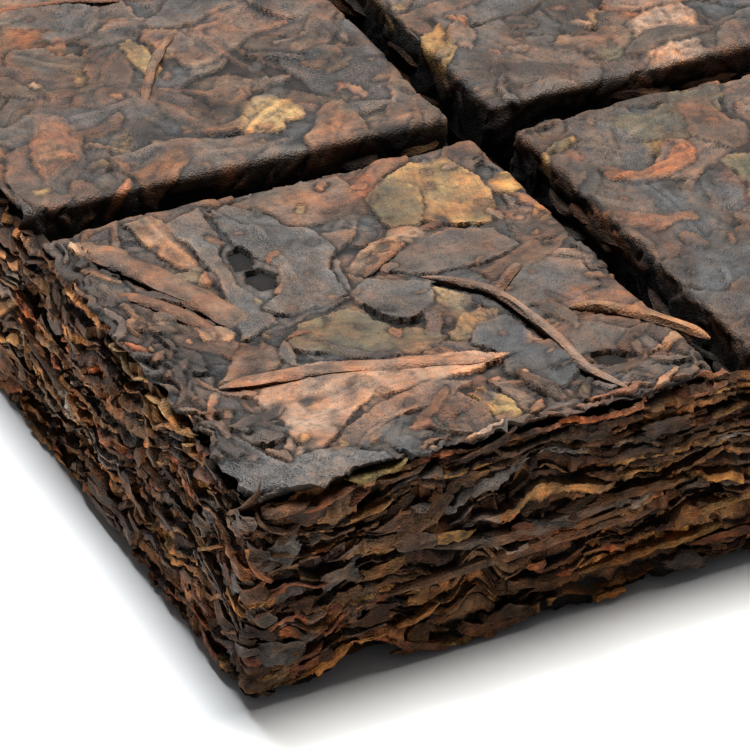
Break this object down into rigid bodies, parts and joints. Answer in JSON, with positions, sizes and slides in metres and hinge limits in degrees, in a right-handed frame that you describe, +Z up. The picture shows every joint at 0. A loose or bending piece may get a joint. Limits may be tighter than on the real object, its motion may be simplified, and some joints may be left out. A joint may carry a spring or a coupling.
{
  "type": "pu erh tea brick",
  "caption": "Thin rectangular slab of dark pressed tea leaves, scored on top by deep straight grooves into squares that break off.",
  "frame": {"origin": "centre of the flat underside, in the plane the brick rests on", "axes": "+Z up through the scored top, +X along the longer side, +Y along the shorter side"},
  "size_m": [0.1047, 0.0785, 0.0124],
  "materials": {
    "pressed_tea": "dry pressed leaf, matt to faintly waxy, dark brown with grey, terracotta and ochre leaves"
  },
  "bodies": {
    "root": {"tea_brick": "pressed_tea"}
  },
  "joints": []
}
